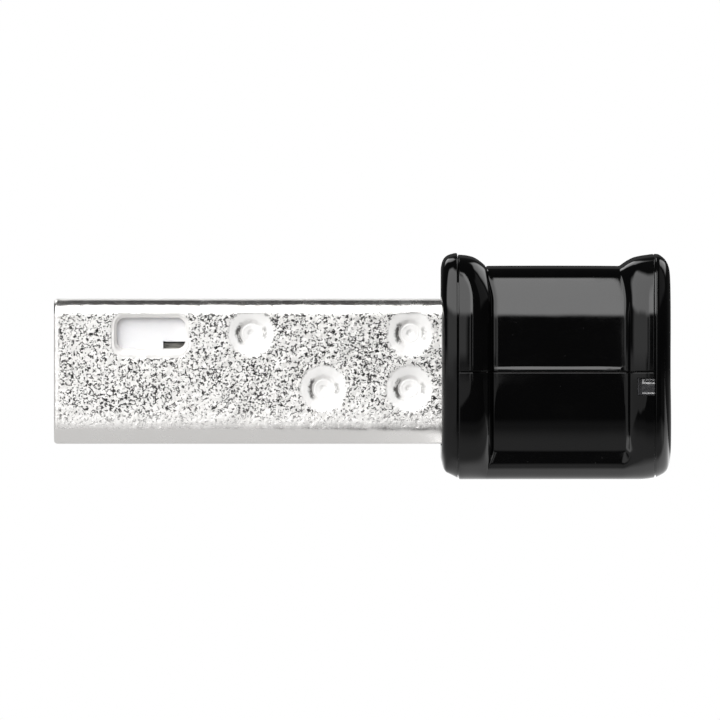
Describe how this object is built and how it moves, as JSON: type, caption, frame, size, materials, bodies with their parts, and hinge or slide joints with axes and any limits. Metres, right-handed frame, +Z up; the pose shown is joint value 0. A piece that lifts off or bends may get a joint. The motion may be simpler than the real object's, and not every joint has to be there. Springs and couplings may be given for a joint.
{
  "type": "usb wifi adapter",
  "caption": "Nano USB Wi-Fi adapter: a bright metal Series-A plug with latch windows and pressed dimples in a short glossy black housing with two flanges.",
  "frame": {"origin": "on the base plane z = 0, under the middle of the overall length and width", "axes": "+X from the plug's tip to the rear cap, +Y across the adapter, +Z up from the flat base"},
  "size_m": [0.0192, 0.015, 0.0071],
  "materials": {
    "nickel_shell": "satin",
    "black_housing": "gloss",
    "smoked_window": "gloss",
    "white_insulator": "satin",
    "gold_contact": "polished",
    "circuit_board": "satin",
    "chip_epoxy": "matte",
    "metal_can": "satin",
    "ferrite": "matte",
    "tan_ceramic": "satin",
    "white_ceramic": "satin"
  },
  "bodies": {
    "root": {"front_collar": "black_housing", "upper_cover": "black_housing", "lower_cover": "black_housing", "rear_cap": "black_housing", "led_light_pipe": "smoked_window", "usb_shell": "nickel_shell", "contact_insulator": "white_insulator", "pcb_support": "white_insulator", "contact_vbus": "gold_contact", "contact_d_minus": "gold_contact", "contact_d_plus": "gold_contact", "contact_ground": "gold_contact", "main_pcb": "circuit_board", "wifi_soc": "chip_epoxy", "crystal": "metal_can", "voltage_regulator": "chip_epoxy", "power_inductor": "ferrite", "chip_antenna": "white_ceramic", "antenna_match_capacitor": "tan_ceramic", "antenna_match_inductor": "white_ceramic", "decoupling_capacitor_1": "tan_ceramic", "decoupling_capacitor_2": "tan_ceramic", "decoupling_capacitor_3": "tan_ceramic", "decoupling_capacitor_4": "tan_ceramic", "input_capacitor": "tan_ceramic", "output_capacitor": "tan_ceramic", "status_led": "white_ceramic", "led_resistor": "chip_epoxy"}
  },
  "joints": []
}
